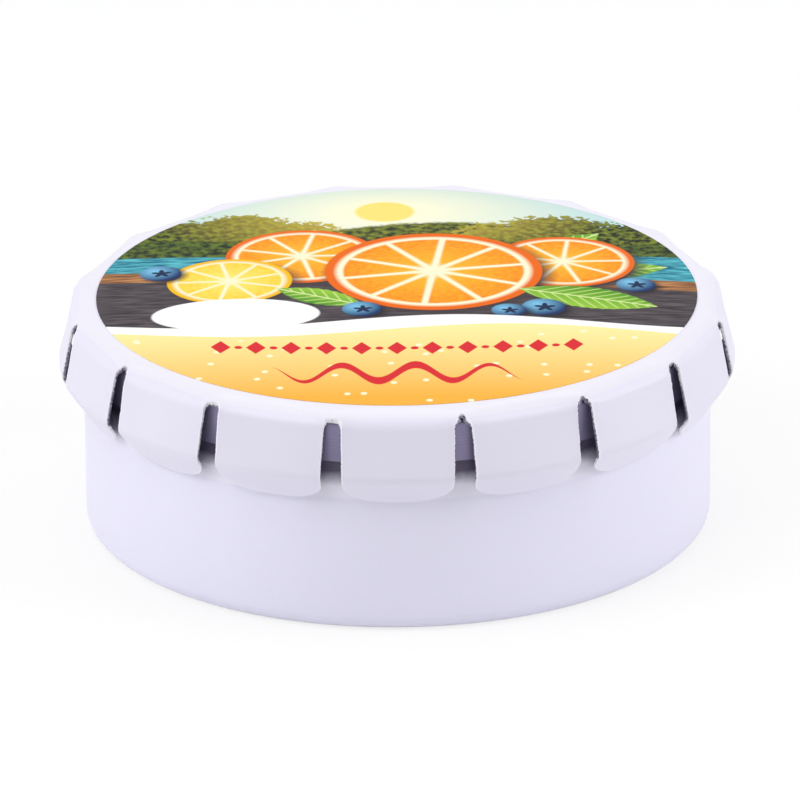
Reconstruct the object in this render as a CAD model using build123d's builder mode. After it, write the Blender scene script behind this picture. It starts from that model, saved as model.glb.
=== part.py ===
from build123d import *
import os
from math import asin, atan2, cos, degrees, radians, sin, tan

os.makedirs("parts", exist_ok=True)

# A round tin for mints, in millimetres, closed and standing on its foot ring.
# The origin is under the middle of the base, +Z is up and the front is at -Y.

# Sheet steel, the same gauge in the base and in the lid
sheet = 0.25

# Base: a drawn pan with its mouth rolled outward into a hem
base_radius = 27.0
base_bend = 1.4
floor_rise = 0.5
foot_inset = 3.2
foot_slope = 0.9
foot_bend = 0.6
mouth_height = 19.25
hem_thickness = 0.6
hem_drop = 3.6
hem_bend_share = 0.49

# Lid: rim, panel and fingers are bent from one blank, and meet at the folds
lid_seat_clearance = 0.65
shoulder_overhang = 0.15
shoulder_bend = 1.9
fold_angle = 45.0
fold_clearance = 0.06
flare = 1.31
crease_drop = 4.7
crease_bend = 1.1
tuck_drop = 2.45
tip_clearance = 0.22

# Panel in the middle of the lid, slightly domed, which is pressed into the mouth
panel_mouth_clearance = 0.75
panel_clearance = 0.05
panel_dome = 0.5
print_margin = 0.15
print_thickness = 0.05

# Sixteen fingers of the skirt, with a slot between each two
finger_count = 16
slot_top_width = 1.45
slot_bottom_width = 1.85
finger_corner = 1.9

# Mints: two layers, each of a ring of mints about one in the middle
mint_side = 13.0
mint_corner = 2.9
mint_thickness = 6.5
mint_bevel_width = 1.7
mint_bevel_height = 1.15
mint_wall_clearance = 1.65
mint_shift = 0.25
mints_in_ring = 7
lower_yaw_shares = (0.2, -0.6, 0.9, -0.3, 0.5, -0.9, 0.4)
upper_yaw_shares = (-0.7, 0.3, -0.2, 0.8, -0.5, 0.6, -0.9)
lower_shift_shares = (0.6, -0.4, 0.9, 0.1, -0.8, 0.5, -0.2)
upper_shift_shares = (-0.5, 0.8, -0.1, 0.4, 0.9, -0.7, 0.2)
most_yaw_angle = 3.0
lower_layer_angle = 9.0
upper_layer_angle = 33.0
middle_mint_angle = 24.0

# Middle line of the base's sheet, from the centre of the floor to the hem's end
wall_line = base_radius - sheet / 2
hem_line = base_radius + hem_thickness - sheet / 2
foot_line = sheet / 2
floor_line = floor_rise + sheet / 2
foot_inner_radius = base_radius - foot_inset
mouth_line = mouth_height - sheet / 2
hem_bend = (hem_line - wall_line) * hem_bend_share
base_points = (
    (0, floor_line),
    (foot_inner_radius, floor_line),
    (foot_inner_radius + foot_slope, foot_line),
    (wall_line, foot_line),
    (wall_line, mouth_line),
    (hem_line, mouth_line),
    (hem_line, mouth_height - hem_drop),
)
base_bends = (foot_bend, foot_bend, base_bend - sheet / 2, hem_bend, hem_bend)

# Middle line of the lid's sheet, from the edge of the panel to a finger's tip
lid_line = mouth_height + lid_seat_clearance + sheet / 2
panel_radius = base_radius - sheet - panel_mouth_clearance
rim_inner_radius = panel_radius + panel_clearance
shoulder_reach = base_radius + hem_thickness + shoulder_overhang
crease_reach = shoulder_reach + flare
crease_height = mouth_height - crease_drop
tip_reach = base_radius + tip_clearance + sheet / 2
tip_height = crease_height - tuck_drop
lid_points = (
    (rim_inner_radius, lid_line),
    (shoulder_reach, lid_line),
    (crease_reach, crease_height),
    (tip_reach, tip_height),
)
shoulder_line_bend = shoulder_bend - sheet / 2
lid_bends = (shoulder_line_bend, crease_bend - sheet / 2)

# Fold between rim and fingers, part of the way round the shoulder's bend
shoulder_turn = atan2(lid_line - crease_height, flare)
bend_centre_radius = shoulder_reach - shoulder_line_bend * tan(shoulder_turn / 2)
bend_centre_height = lid_line - shoulder_line_bend
fold_radius = bend_centre_radius + shoulder_line_bend * sin(radians(fold_angle))
fold_height = bend_centre_height + shoulder_line_bend * cos(radians(fold_angle))
cutter_size = crease_reach

# Outline of a finger seen from straight in front of it, with the slots' rounded tops at the fold
finger_pitch = 360 / finger_count
half_pitch = radians(finger_pitch / 2)
slot_top_radius = slot_top_width / 2
slot_top_place = fold_radius * sin(half_pitch)
slot_top_height = fold_height - slot_top_radius
root_half_width = slot_top_place - slot_top_radius
crease_half_width = crease_reach * sin(half_pitch) - slot_bottom_width / 2

# Base pan
with BuildPart() as base_pan:
    with BuildSketch(Plane.XZ):
        with BuildLine() as base_path:
            FilletPolyline(*base_points, radius=base_bends)
        trace(base_path.line, line_width=sheet)
    revolve(axis=Axis.Z)
base_pan.part.label = "base_pan"
export_step(base_pan.part, "parts/base_pan.step")

# Lid rim, as far as the folds
with BuildPart() as lid_rim:
    with BuildSketch(Plane.XZ):
        with BuildLine() as rim_path:
            FilletPolyline(*lid_points, radius=lid_bends)
        trace(rim_path.line, line_width=sheet)
        with Locations(Location((fold_radius, fold_height), -fold_angle)):
            Rectangle(
                cutter_size,
                cutter_size,
                align=(Align.MIN, Align.CENTER),
                mode=Mode.SUBTRACT,
            )
    revolve(axis=Axis.Z)
lid_rim.part.label = "lid_rim"
export_step(lid_rim.part, "parts/lid_rim.step")

# Fingers, each a bent tongue of the skirt, counted from the front towards +X
with BuildPart() as front_finger:
    with BuildSketch(Plane.XZ):
        with BuildLine() as finger_path:
            FilletPolyline(*lid_points, radius=lid_bends)
        trace(finger_path.line, line_width=sheet)
        with Locations(Location((fold_radius, fold_height), -fold_angle)):
            with Locations((fold_clearance, 0)):
                Rectangle(
                    cutter_size,
                    cutter_size,
                    align=(Align.MIN, Align.CENTER),
                    mode=Mode.INTERSECT,
                )
    revolve(axis=Axis.Z)
    with BuildSketch(Plane.XZ) as finger_outline:
        with BuildLine():
            Polyline(
                (-slot_top_place, lid_line),
                (-slot_top_place, slot_top_height),
                (-root_half_width, slot_top_height),
                (-crease_half_width, crease_height),
                (-crease_half_width, tip_height - sheet / 2),
                (crease_half_width, tip_height - sheet / 2),
                (crease_half_width, crease_height),
                (root_half_width, slot_top_height),
                (slot_top_place, slot_top_height),
                (slot_top_place, lid_line),
                close=True,
            )
        make_face()
        lower_corners = finger_outline.vertices().sort_by(Axis.Y)[:2]
        fillet(lower_corners, radius=finger_corner)
        with Locations((-slot_top_place, slot_top_height), (slot_top_place, slot_top_height)):
            Circle(slot_top_radius, mode=Mode.SUBTRACT)
    extrude(amount=2 * crease_reach, mode=Mode.INTERSECT)

for number in range(finger_count):
    with BuildPart() as skirt_finger:
        add(front_finger.part, rotation=(0, 0, number * finger_pitch))
    skirt_finger.part.label = f"skirt_finger_{number + 1:02d}"
    export_step(skirt_finger.part, f"parts/{skirt_finger.part.label}.step")

# Lid panel, a shallow dome of the same sheet
dome_radius = (panel_radius**2 + panel_dome**2) / (2 * panel_dome)
dome_centre = (0, lid_line + panel_dome - dome_radius)
with BuildPart() as lid_panel:
    with BuildSketch(Plane.XZ):
        with BuildLine() as panel_path:
            CenterArc(dome_centre, dome_radius, 90, -degrees(asin(panel_radius / dome_radius)))
        trace(panel_path.line, line_width=sheet)
    revolve(axis=Axis.Z)
lid_panel.part.label = "lid_panel"
export_step(lid_panel.part, "parts/lid_panel.step")

# Printed disc, a thin film on top of the panel
print_radius = panel_radius - print_margin
film_radius = dome_radius + sheet / 2 + print_thickness / 2
with BuildPart() as printed_disc:
    with BuildSketch(Plane.XZ):
        with BuildLine() as film_path:
            CenterArc(dome_centre, film_radius, 90, -degrees(asin(print_radius / film_radius)))
        trace(film_path.line, line_width=print_thickness)
    revolve(axis=Axis.Z)
printed_disc.part.label = "printed_disc"
export_step(printed_disc.part, "parts/printed_disc.step")

# One mint, a rounded square tablet bevelled above and below
with BuildPart() as mint:
    with BuildSketch():
        RectangleRounded(mint_side, mint_side, mint_corner)
    extrude(amount=mint_thickness)
    for face in (mint.faces().sort_by(Axis.Z)[-1], mint.faces().sort_by(Axis.Z)[0]):
        chamfer(
            face.edges(),
            length=mint_bevel_width,
            length2=mint_bevel_height,
            reference=face,
        )


# Middle of each mint in a ring, with its outer side clear of the wall
mint_ring_radius = base_radius - sheet - mint_wall_clearance - mint_side / 2


def layer_places(height, turn, yaw_shares, shift_shares):
    """Places of one layer of mints: one in the middle and a ring of others about it."""
    places = [Location((0, 0, height), (0, 0, turn + middle_mint_angle))]
    for index in range(mints_in_ring):
        angle = turn + index * 360 / mints_in_ring
        radius = mint_ring_radius + mint_shift * shift_shares[index]
        yaw = angle + most_yaw_angle * yaw_shares[index]
        x = radius * cos(radians(angle))
        y = radius * sin(radians(angle))
        places.append(Location((x, y, height), (0, 0, yaw)))
    return places


# Lower layer of mints, flat on the floor of the base
lower_layer_height = floor_rise + sheet
with BuildPart() as mints_lower_layer:
    with Locations(
        *layer_places(lower_layer_height, lower_layer_angle, lower_yaw_shares, lower_shift_shares)
    ):
        add(mint.part)
mints_lower_layer.part.label = "mints_lower_layer"
export_step(mints_lower_layer.part, "parts/mints_lower_layer.step")

# Upper layer of mints, flat on the lower one
upper_layer_height = lower_layer_height + mint_thickness
with BuildPart() as mints_upper_layer:
    with Locations(
        *layer_places(upper_layer_height, upper_layer_angle, upper_yaw_shares, upper_shift_shares)
    ):
        add(mint.part)
mints_upper_layer.part.label = "mints_upper_layer"
export_step(mints_upper_layer.part, "parts/mints_upper_layer.step")

# Where the fingers hinge, for the record
print(f"fold at radius {fold_radius:.3f}, height {fold_height:.3f}")
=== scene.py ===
import math

import bpy
import numpy as np
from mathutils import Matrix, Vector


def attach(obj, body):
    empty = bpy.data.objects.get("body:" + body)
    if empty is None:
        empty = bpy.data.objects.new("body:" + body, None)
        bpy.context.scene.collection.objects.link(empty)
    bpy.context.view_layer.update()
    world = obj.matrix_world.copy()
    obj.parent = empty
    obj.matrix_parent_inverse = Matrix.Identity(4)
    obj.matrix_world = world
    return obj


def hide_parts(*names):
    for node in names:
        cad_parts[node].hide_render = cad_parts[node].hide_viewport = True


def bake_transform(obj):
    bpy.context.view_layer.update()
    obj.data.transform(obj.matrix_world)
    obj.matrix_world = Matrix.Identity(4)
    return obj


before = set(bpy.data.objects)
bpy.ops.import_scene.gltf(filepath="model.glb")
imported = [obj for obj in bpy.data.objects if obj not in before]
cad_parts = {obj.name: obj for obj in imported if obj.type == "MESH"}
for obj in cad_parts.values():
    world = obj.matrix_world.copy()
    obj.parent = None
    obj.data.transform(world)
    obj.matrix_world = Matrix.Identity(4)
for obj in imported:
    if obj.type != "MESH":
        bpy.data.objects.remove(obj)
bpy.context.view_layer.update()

# Base pan
# One drawn sheet of tinplate, coated pale lavender outside and only lacquered inside.
# Its mouth is rolled outward, so that the hem under the lid shows the lacquered side.

mm = 0.001
sheet = 0.25
full_turn = 2 * math.pi

base_radius = 27.0
floor_rise = 0.5
foot_inner_radius = 23.8
foot_slope = 0.9
mouth_height = 19.25
hem_thickness = 0.6
hem_drop = 3.6
base_bends = (0.6, 0.6, 1.275, 0.294, 0.294)

wall_line = base_radius - sheet / 2
hem_line = base_radius + hem_thickness - sheet / 2
base_middle_line = (
    (0.0, floor_rise + sheet / 2),
    (foot_inner_radius, floor_rise + sheet / 2),
    (foot_inner_radius + foot_slope, sheet / 2),
    (wall_line, sheet / 2),
    (wall_line, mouth_height - sheet / 2),
    (hem_line, mouth_height - sheet / 2),
    (hem_line, mouth_height - hem_drop),
)

bend_steps = 12
longest_run = 1.5
base_columns = 384


def bent_line(points, bends):
    """A bent sheet's middle line as places and headings, with an arc at each corner."""
    places = [np.array(points[0])]
    way = np.subtract(points[1], points[0])
    headings = [math.atan2(way[1], way[0])]
    for before, corner, after, bend in zip(points, points[1:], points[2:], bends):
        into, out = np.subtract(corner, before), np.subtract(after, corner)
        first, second = math.atan2(into[1], into[0]), math.atan2(out[1], out[0])
        turn = (second - first + math.pi) % full_turn - math.pi
        start = np.array(corner) - into / np.hypot(*into) * bend * math.tan(abs(turn) / 2)
        side = math.copysign(1, turn)
        centre = start + side * bend * np.array((-math.sin(first), math.cos(first)))
        for index in range(bend_steps + 1):
            heading = first + turn * index / bend_steps
            spoke = np.array((-math.sin(heading), math.cos(heading)))
            places.append(centre - side * bend * spoke)
            headings.append(heading)
    places.append(np.array(points[-1]))
    headings.append(second)
    return np.array(places), np.array(headings)


def divided(places, headings):
    """The same line with its long straight runs divided."""
    new_places, new_headings = [places[0]], [headings[0]]
    for index in range(1, len(places)):
        run = np.hypot(*(places[index] - places[index - 1]))
        pieces = max(1, math.ceil(run / longest_run))
        for piece in range(1, pieces + 1):
            share = piece / pieces
            new_places.append(places[index - 1] * (1 - share) + places[index] * share)
            new_headings.append(headings[index - 1] * (1 - share) + headings[index] * share)
    return np.array(new_places), np.array(new_headings)


def turned(section, facing, columns):
    """A section of radius and height, and the way it faces, turned about the tin's middle."""
    angles = np.linspace(0, full_turn, columns, endpoint=False)
    level = 0 * angles

    def swept(out, up):
        """Values out from the middle and up, carried round at every angle."""
        return np.stack((out * np.sin(angles), -out * np.cos(angles), up + level), axis=2)

    points = swept(section[:, 0, None], section[:, 1, None])
    normals = swept(facing[:, 0, None], facing[:, 1, None])
    return points, normals


def facing_out(faces, vertices, directions):
    """The same faces, all turned over if the middle one is against its normal."""
    face = faces[len(faces) // 2]
    corners = [np.array(vertices[index]) for index in face[:3]]
    way = np.cross(corners[1] - corners[0], corners[2] - corners[0])
    if way @ np.array(directions[face[0]]) < 0:
        return [face[::-1] for face in faces]
    return faces


def skin_mesh(name, patches, finishes):
    """One mesh from patches. Each is a grid in millimetres, its normals, if it closes, and its finish."""
    vertices, directions, faces, face_finish = [], [], [], []
    for points, normals, closed, finish in patches:
        rows, columns = points.shape[:2]
        middle = len(vertices)
        # A closed grid whose first row is one point starts with a fan of triangles
        fanned = closed and np.ptp(points[0], axis=0).max() < 1e-9
        if fanned:
            vertices.append(tuple(points[0, 0] * mm))
            directions.append(tuple(normals[0, 0]))
            points, normals, rows = points[1:], normals[1:], rows - 1
        start = len(vertices)
        vertices.extend(map(tuple, points.reshape(-1, 3) * mm))
        directions.extend(map(tuple, normals.reshape(-1, 3)))
        skin = []
        for above in range(start, start + (rows - 1) * columns, columns):
            below = above + columns
            for column in range(columns if closed else columns - 1):
                beside = (column + 1) % columns
                skin.append((above + column, above + beside, below + beside, below + column))
        skin = facing_out(skin, vertices, directions)
        if fanned:
            fan = [(middle, start + (spoke + 1) % columns, start + spoke) for spoke in range(columns)]
            skin = skin + facing_out(fan, vertices, directions)
        faces.extend(skin)
        face_finish.extend([finish] * len(skin))
    mesh = bpy.data.meshes.new(name)
    mesh.from_pydata(vertices, [], faces)
    for material in finishes:
        mesh.materials.append(material)
    mesh.polygons.foreach_set("material_index", face_finish)
    mesh.polygons.foreach_set("use_smooth", [True] * len(faces))
    mesh.normals_split_custom_set_from_vertices(directions)
    piece = bpy.data.objects.new(name, mesh)
    bpy.context.scene.collection.objects.link(piece)
    return piece


def srgb(red, green, blue):
    """A colour on the eye's scale of 0 to 255, as the shader wants it."""
    parts = [part / 255 for part in (red, green, blue)]
    return tuple(p / 12.92 if p <= 0.04045 else ((p + 0.055) / 1.055) ** 2.4 for p in parts) + (1.0,)


class Value:
    """What a node gives out. Arithmetic on it makes a node for each step."""

    def __init__(self, socket):
        self.socket = socket
        self.tree = socket.id_data

    def __add__(self, other):
        return step("ADD", self, other)

    def __sub__(self, other):
        return step("SUBTRACT", self, other)

    def __rsub__(self, other):
        return step("SUBTRACT", other, self)

    def __mul__(self, other):
        return step("MULTIPLY", self, other)

    def __truediv__(self, other):
        return step("DIVIDE", self, other)

    def __pow__(self, other):
        return step("POWER", self, other)

    def __abs__(self):
        return step("ABSOLUTE", self)


def add_node(tree, kind, inputs=(), **settings):
    """A node with its settings, and with its inputs given as plain values or by other nodes."""
    node = tree.nodes.new(kind)
    for setting, value in settings.items():
        setattr(node, setting, value)
    for key, value in dict(inputs).items():
        if isinstance(value, Value):
            tree.links.new(value.socket, node.inputs[key])
        else:
            node.inputs[key].default_value = value
    return node


def made(tree, kind, inputs=(), output=0, **settings):
    """What a new node gives out."""
    return Value(add_node(tree, kind, inputs, **settings).outputs[output])


def step(operation, *terms, clamp=False):
    """One step of arithmetic on values."""
    tree = next(term.tree for term in terms if isinstance(term, Value))
    return made(tree, "ShaderNodeMath", dict(enumerate(terms)), operation=operation, use_clamp=clamp)


def remap(value, low, high, new_low=0.0, new_high=1.0):
    """A value carried from one span to another, and held at its ends."""
    spans = {"Value": value, "From Min": low, "From Max": high, "To Min": new_low, "To Max": new_high}
    return made(value.tree, "ShaderNodeMapRange", spans)


def mix_colours(share, under, over):
    """A share of one colour laid over another."""
    # For colours the mix node takes its inputs 6 and 7, and gives its output 2
    return made(share.tree, "ShaderNodeMix", {0: share, 6: under, 7: over}, 2, data_type="RGBA")


def shaded(value, low, high, under, over, most=1.0):
    """One colour going over into another while a value goes from low to high."""
    return mix_colours(remap(value, low, high, 0.0, most), under, over)


def lightened(colour, value):
    """A colour made darker or lighter by a value about 1."""
    return made(value.tree, "ShaderNodeHueSaturation", {"Color": colour, "Value": value})


def object_place(tree):
    """The place on the object, in metres."""
    return made(tree, "ShaderNodeTexCoord", output="Object")


def part_of(place, axis):
    """How far a place is along one axis."""
    return made(place.tree, "ShaderNodeSeparateXYZ", {"Vector": place}, axis)


def stretched(place, stretch):
    """A place stretched along each axis."""
    return made(place.tree, "ShaderNodeVectorMath", {0: place, 1: stretch}, operation="MULTIPLY")


def noise(place, scale, detail):
    """A drifting value over the surface."""
    inputs = {"Vector": place, "Scale": scale, "Detail": detail}
    return made(place.tree, "ShaderNodeTexNoise", inputs, "Fac")


def round_spots(place, scale, bare_share, biggest, sharpness):
    """Round spots of many sizes, strewn over the surface with some places left bare."""
    cells = add_node(place.tree, "ShaderNodeTexVoronoi", {"Vector": place, "Scale": scale}).outputs
    size = remap(Value(cells["Color"]), bare_share, 1.0, 0.0, biggest)
    return step("MULTIPLY", size - Value(cells["Distance"]), sharpness, clamp=True)


def new_finish(name):
    """A material with its tree and its shader."""
    material = bpy.data.materials.new(name)
    material.use_nodes = True
    return material, material.node_tree, material.node_tree.nodes["Principled BSDF"]


def dress(shader, colour, roughness, relief, strength, depth):
    """Colour, roughness and relief put on a shader, with the relief's depth in millimetres."""
    tree = shader.id_data
    inputs = {"Height": relief, "Strength": strength, "Distance": depth * mm}
    bump = made(tree, "ShaderNodeBump", inputs)
    for key, value in (("Base Color", colour), ("Roughness", roughness), ("Normal", bump)):
        tree.links.new(value.socket, shader.inputs[key])


# The coating's own surface: a faint orange peel, slow drifts of tone and sparse dust nibs
coat_group = bpy.data.node_groups.new("sprayed_coat", "ShaderNodeTree")
for way, socket_name, kind in (
    ("INPUT", "Colour", "NodeSocketColor"),
    ("INPUT", "Drift", "NodeSocketFloat"),
    ("INPUT", "Nibs", "NodeSocketFloat"),
    ("INPUT", "Roughness", "NodeSocketFloat"),
    ("OUTPUT", "Colour", "NodeSocketColor"),
    ("OUTPUT", "Roughness", "NodeSocketFloat"),
    ("OUTPUT", "Height", "NodeSocketFloat"),
):
    coat_group.interface.new_socket(socket_name, in_out=way, socket_type=kind)
given = add_node(coat_group, "NodeGroupInput").outputs
where = object_place(coat_group)
slow = noise(where, 110.0, 3.0)
peel = noise(where, 2600.0, 2.0)
fine = noise(where, 9000.0, 1.0)
nibs = round_spots(where, 420.0, 0.55, 0.035, 60.0)
nibs = step("MULTIPLY", nibs, Value(given["Nibs"]), clamp=True)
lightness = (slow - 0.5) * Value(given["Drift"]) + (fine - 0.5) * 0.05 + 1.0
nibbed = mix_colours(nibs, lightened(Value(given["Colour"]), lightness), srgb(176, 168, 190))
rough = step("ADD", Value(given["Roughness"]), (peel - 0.5) * 0.14, clamp=True)
relief = peel * 0.8 + (fine * 0.25 + nibs)
add_node(coat_group, "NodeGroupOutput", {"Colour": nibbed, "Roughness": rough, "Height": relief})

coat_roughness = 0.42
coat_relief = 0.004


def coated(name, colour, roughness=coat_roughness, drift=0.035, nibs=0.5):
    """Coated tinplate: the shared coat over a semi-gloss shader."""
    material, tree, shader = new_finish(name)
    inputs = {"Colour": colour, "Drift": drift, "Nibs": nibs, "Roughness": roughness}
    coat = add_node(tree, "ShaderNodeGroup", inputs, node_tree=coat_group).outputs
    looks = [Value(coat[key]) for key in ("Colour", "Roughness", "Height")]
    dress(shader, *looks, 1.0, coat_relief)
    shader.inputs["Specular IOR Level"].default_value = 0.4
    return material


def lay_over(material, share, colour):
    """A share of another colour laid over a material's own."""
    tree = material.node_tree
    base_colour = tree.nodes["Principled BSDF"].inputs["Base Color"]
    own = Value(base_colour.links[0].from_socket)
    tree.links.new(mix_colours(share, own, colour).socket, base_colour)


outer_coat = coated("lavender_coat", srgb(229, 226, 241))
# A near-white finish for sheared edges and the strips beside them: partly burnished metal and partly
# painted highlight
cut_edge_and_highlight = coated("cut_edge_and_painted_highlight", srgb(250, 249, 254), roughness=0.4, drift=0.02, nibs=0.2)

# Painted light and shade on the base's coat: a paler band where the lid covers the wall lifts the shade
# under the fingers, and a dark tinplate-coloured band under the hem is painted shade
painted_light_from, painted_light_whole = 11.95, 12.2
painted_shade_from, painted_shade_whole = 13.5, 14.75
shade_edge_wander = 0.5
# The base's coat is a paler, bluer copy of the lid's coat; the lift is partly painted light on the base's
# wall
base_coat = coated("lavender_base_coat", srgb(235, 233, 250))
where = object_place(base_coat.node_tree)
height = part_of(where, "Z")
# Painted light: a paler coat from about 12 mm up, where the fingers cover the wall, lifting the shade
# there
lay_over(base_coat, remap(height, painted_light_from * mm, painted_light_whole * mm), srgb(244, 241, 255))
# Painted shade: dark tinplate colours laid over the coat below the hem, with a ragged lower edge
shade_edge_noise = noise(where, 1500.0, 3.0)
painted_shade_share = remap(height + shade_edge_noise * (shade_edge_wander * mm), painted_shade_from * mm, painted_shade_whole * mm)
lay_over(base_coat, painted_shade_share, mix_colours(shade_edge_noise, srgb(88, 80, 106), srgb(118, 109, 134)))

# Lacquered tinplate, which shows the fine marks of the roll that turned the hem
tinplate, tree, shader = new_finish("lacquered_tinplate")
where = object_place(tree)
rolled = noise(stretched(where, (0.0, 0.0, 1.0)), 7000.0, 3.0)
cloud = noise(where, 300.0, 4.0)
steel_colour = shaded(rolled, 0.3, 0.7, srgb(142, 134, 167), srgb(156, 148, 180))
clouded = shaded(cloud, 0.35, 0.75, steel_colour, srgb(138, 131, 160), most=0.5)
dress(shader, clouded, remap(cloud, 0.2, 0.8, 0.42, 0.58), rolled, 0.3, 0.004)
shader.inputs["Metallic"].default_value = 0.6

base_places, base_headings = divided(*bent_line(base_middle_line, base_bends))
left_side = np.stack((-np.sin(base_headings), np.cos(base_headings)), axis=1)
left_places = base_places + left_side * sheet / 2
right_places = base_places - left_side * sheet / 2
hem_end = np.stack((left_places[-1], right_places[-1]))
facing_down = np.array(((0.0, -1.0), (0.0, -1.0)))
# The sheet's two finishes, by their place in a mesh's list
coat_side, tin_side = 0, 1
base_pan = skin_mesh(
    "base_pan_drawn",
    [
        (*turned(left_places, left_side, base_columns), True, tin_side),
        (*turned(right_places, -left_side, base_columns), True, coat_side),
        (*turned(hem_end, facing_down, base_columns), True, tin_side),
    ],
    [base_coat, tinplate],
)
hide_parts("base_pan")
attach(base_pan, "base")

# Mints
# Square tablets pressed from sugar, with a bevel above and below a plain band.
# Two layers of eight lie loose inside, and each layer is one piece.

mint_side = 13.0
mint_corner = 2.9
mint_thickness = 6.5
bevel_width = 1.7
bevel_height = 1.15
mints_in_ring = 7
ring_radius = 18.6
mint_shift = 0.25
most_yaw = 3.0
middle_mint_yaw = 24.0
floor_top = floor_rise + sheet
top_dip = 0.055

# How far in from the tablet's side, and how far down, its upper half runs from the middle of its top
mint_section = (
    (6.4, 0.05),
    (4.0, 0.035),
    (2.3, 0.015),
    (bevel_width + 0.25, 0.0),
    (bevel_width + 0.05, 0.02),
    (bevel_width - 0.2, 0.14),
    (0.95, 0.6),
    (0.28, bevel_height - 0.1),
    (0.1, bevel_height - 0.01),
    (0.02, bevel_height + 0.06),
    (0.05, bevel_height + 0.16),
    (0.07, bevel_height + 0.4),
    (0.06, mint_thickness / 2),
)


def spin(degrees):
    """A turn in plan."""
    turn = math.radians(degrees)
    return np.array(((math.cos(turn), -math.sin(turn)), (math.sin(turn), math.cos(turn))))


def mint_outline(inset):
    """The outline of a tablet that much in from its side."""
    half = mint_side / 2 - inset
    # The corner shrinks a little more slowly than the side comes in, and is never quite sharp
    corner = max(mint_corner - inset * 0.85, half * 0.3)
    run = half - corner
    quarter = [(half, run * share) for share in np.linspace(-1, 1, 7)[:-1]]
    for lean in np.linspace(0, math.pi / 2, 11)[:-1]:
        quarter.append((run + corner * math.cos(lean), run + corner * math.sin(lean)))
    return np.concatenate([quarter @ spin(degrees).T for degrees in (0, 90, 180, 270)])


def mint_skin(x, y, z, yaw):
    """The whole skin of one tablet, from the middle of its top to the middle of its underside."""
    upper = [(inset, mint_thickness - drop) for inset, drop in mint_section]
    lower = [(inset, drop) for inset, drop in reversed(mint_section[:-1])]
    rings = []
    for inset, level in upper + lower:
        outline = mint_outline(inset)
        rings.append(np.column_stack((outline, np.full(len(outline), level))))
    middle_top = np.tile((0.0, 0.0, mint_thickness - top_dip), (len(rings[0]), 1))
    middle_under = np.tile((0.0, 0.0, top_dip), (len(rings[0]), 1))
    grid = np.array([middle_top, *rings, middle_under])
    round_it = np.roll(grid, -1, axis=1) - np.roll(grid, 1, axis=1)
    normals = np.cross(np.gradient(grid, axis=0), round_it)
    size = np.linalg.norm(normals, axis=2, keepdims=True)
    normals = np.where(size > 1e-12, normals / np.maximum(size, 1e-12), 0.0)
    if normals[len(grid) // 2, 3, 0] < 0:
        normals = -normals
    normals[0] = (0, 0, 1)
    normals[-1] = (0, 0, -1)
    for values in (grid, normals):
        values[..., :2] = values[..., :2] @ spin(yaw).T
    return grid + (x, y, z), normals


# Pressed sugar: matt off-white, with the grain of the powder and slightly glazed patches
pressed_sugar, tree, shader = new_finish("pressed_sugar")
where = object_place(tree)
powder = noise(where, 5200.0, 3.0)
patchy = noise(where, 380.0, 3.0)
sugar = shaded(powder, 0.3, 0.7, srgb(232, 229, 229), srgb(250, 249, 248))
sugar = shaded(patchy, 0.45, 0.8, sugar, srgb(240, 237, 240), most=0.35)
dress(shader, sugar, remap(patchy, 0.2, 0.8, 0.6, 0.85), powder, 0.8, 0.03)
shader.inputs["Specular IOR Level"].default_value = 0.3


def mint_layer(name, node, level, layer_turn, yaw_shares, shift_shares):
    """One layer: a tablet in the middle and a ring of others, turned and shifted a little each."""
    places = [(0.0, 0.0, layer_turn + middle_mint_yaw)]
    for index in range(mints_in_ring):
        angle = layer_turn + index * 360 / mints_in_ring
        radius = ring_radius + mint_shift * shift_shares[index]
        across = math.radians(angle)
        yaw = angle + most_yaw * yaw_shares[index]
        places.append((radius * math.cos(across), radius * math.sin(across), yaw))
    patches = []
    for x, y, yaw in places:
        grid, normals = mint_skin(x, y, level, yaw)
        half = len(grid) // 2
        patches.append((grid[: half + 1], normals[: half + 1], True, 0))
        patches.append((grid[half:][::-1], normals[half:][::-1], True, 0))
    layer = skin_mesh(name, patches, [pressed_sugar])
    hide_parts(node)
    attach(layer, "base")


mint_layer(
    "mints_lower_pressed",
    "mints_lower_layer",
    floor_top,
    9.0,
    (0.2, -0.6, 0.9, -0.3, 0.5, -0.9, 0.4),
    (0.6, -0.4, 0.9, 0.1, -0.8, 0.5, -0.2),
)
mint_layer(
    "mints_upper_pressed",
    "mints_upper_layer",
    floor_top + mint_thickness,
    33.0,
    (-0.7, 0.3, -0.2, 0.8, -0.5, 0.6, -0.9),
    (-0.5, 0.8, -0.1, 0.4, 0.9, -0.7, 0.2),
)

# Lid rim
# The lid is one pressed sheet. Its rim is flat beside the panel and slopes down to the folds, which are
# sharp at some fingers and soft at others. At the slots it stands out in soft corners.

finger_count = 16
pitch = full_turn / finger_count
panel_radius = 26.0
lid_level = 20.025
fold_straight_reach = 27.58
corner_reach = 0.56
corner_softness = 0.2
crease_place = (29.06, 14.55)
crease_bend = 0.975
tip_place = (27.345, 12.1)
tuck_length = math.hypot(crease_place[0] - tip_place[0], crease_place[1] - tip_place[1])
tuck_slope = math.atan2(crease_place[1] - tip_place[1], tip_place[0] - crease_place[0])

# The shoulder's slope, the bends above and below it, and its length: at the slots, and in the middle of
# fingers that are folded sharply or softly. Then how softly each finger is folded, from the front on.
slot_shoulder = (math.radians(49), 1.175, 1.175, 0.12)
sharp_shoulder = (math.radians(40), 1.2, 0.7, 0.95)
soft_shoulder = (math.radians(40), 1.95, 1.95, 0.1)
fold_softness = (0.85, 0.0, 0.15, 0.3, 0.6, 0.2, 0.7, 0.1, 0.5, 0.3, 0.8, 0.2, 0.6, 0.5, 0.75, 0.1)

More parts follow.
